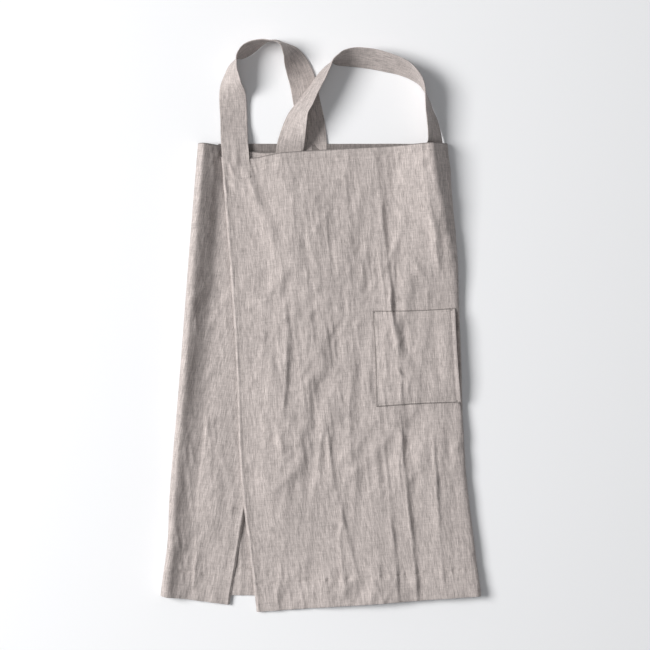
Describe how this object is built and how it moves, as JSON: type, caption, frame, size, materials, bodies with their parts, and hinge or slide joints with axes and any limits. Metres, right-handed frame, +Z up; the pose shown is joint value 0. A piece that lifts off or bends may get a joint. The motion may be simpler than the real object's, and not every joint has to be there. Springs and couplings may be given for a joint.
{
  "type": "cross-back wrap apron",
  "caption": "Linen cross-back wrap apron worn as an artist's smock, lying flat and wrapped shut, back side up, with crossing shoulder straps and a side-entry pocket.",
  "frame": {"origin": "centre of the bounding box, on the table that the apron lies on", "axes": "+X across the apron towards the fold that the outer flap turns about, +Y from the bottom hem towards the shoulder straps, +Z up from the table"},
  "size_m": [0.5444, 0.9718, 0.0473],
  "materials": {
    "body_linen": "matt plain-weave washed linen, oatmeal grey, with slubs",
    "hem_linen": "the same linen turned double and topstitched",
    "strap_linen": "the same linen folded into a flat strap and edge-stitched",
    "pocket_linen": "the same linen, a single patch with a turned mouth"
  },
  "bodies": {
    "root": {"front_panel": "body_linen", "front_top_hem": "hem_linen", "front_bottom_hem": "hem_linen", "left_fold": "body_linen", "right_fold": "body_linen", "outer_strap_loop": "strap_linen", "outer_strap_front_end": "strap_linen", "inner_strap_loop": "strap_linen", "inner_strap_front_end": "strap_linen"},
    "outer_flap": {"outer_flap_panel": "body_linen", "outer_flap_top_hem": "hem_linen", "outer_flap_bottom_hem": "hem_linen", "outer_flap_side_hem": "hem_linen", "outer_strap_back_end": "strap_linen", "pocket_patch": "pocket_linen", "pocket_mouth_hem": "pocket_linen"},
    "inner_flap": {"inner_flap_panel": "body_linen", "inner_flap_top_hem": "hem_linen", "inner_flap_bottom_hem": "hem_linen", "inner_flap_side_hem": "hem_linen", "inner_strap_back_end": "strap_linen"}
  },
  "joints": [
    {"name": "outer_flap_open", "type": "hinge", "parent": "root", "child": "outer_flap", "pos_m": [0.24275, -0.0755, 0.0065], "axis": [-0.0743, 0.9972, 0], "range_deg": [0, 70], "deforming": ["outer_strap_loop"]},
    {"name": "inner_flap_open", "type": "hinge", "parent": "root", "child": "inner_flap", "pos_m": [-0.23925, -0.0755, 0.009], "axis": [-0.0834, -0.9965, 0], "range_deg": [0, 30], "deforming": ["inner_strap_loop"]}
  ],
  "couplings": [
    {"joint": "inner_flap_open", "follows": "outer_flap_open", "ratio": 0.4}
  ]
}
